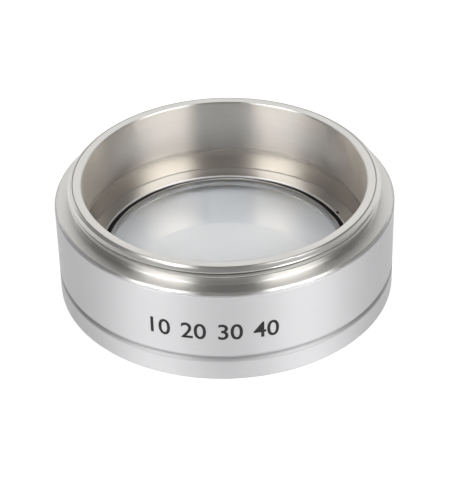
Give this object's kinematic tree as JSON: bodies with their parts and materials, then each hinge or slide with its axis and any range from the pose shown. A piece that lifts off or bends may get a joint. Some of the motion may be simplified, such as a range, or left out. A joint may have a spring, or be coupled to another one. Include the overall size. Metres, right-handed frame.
{
  "type": "microscope auxiliary lens",
  "caption": "Auxiliary lens for a stereo microscope: a low turned aluminium barrel with a male thread on top and a convex glass lens inside.",
  "frame": {"origin": "centre of the bottom face", "axes": "+Z along the optical axis, towards the microscope; X and Y are any two directions across it"},
  "size_m": [0.0522, 0.0522, 0.0186],
  "materials": {
    "barrel": "satin outside, fine turned inside",
    "cell": "satin outside, bright turned ledge",
    "glass": "polished",
    "sealant": "matte"
  },
  "bodies": {
    "root": {"barrel": "barrel", "lens_cell": "cell", "lens": "glass", "sealing_ring": "sealant"}
  },
  "joints": []
}
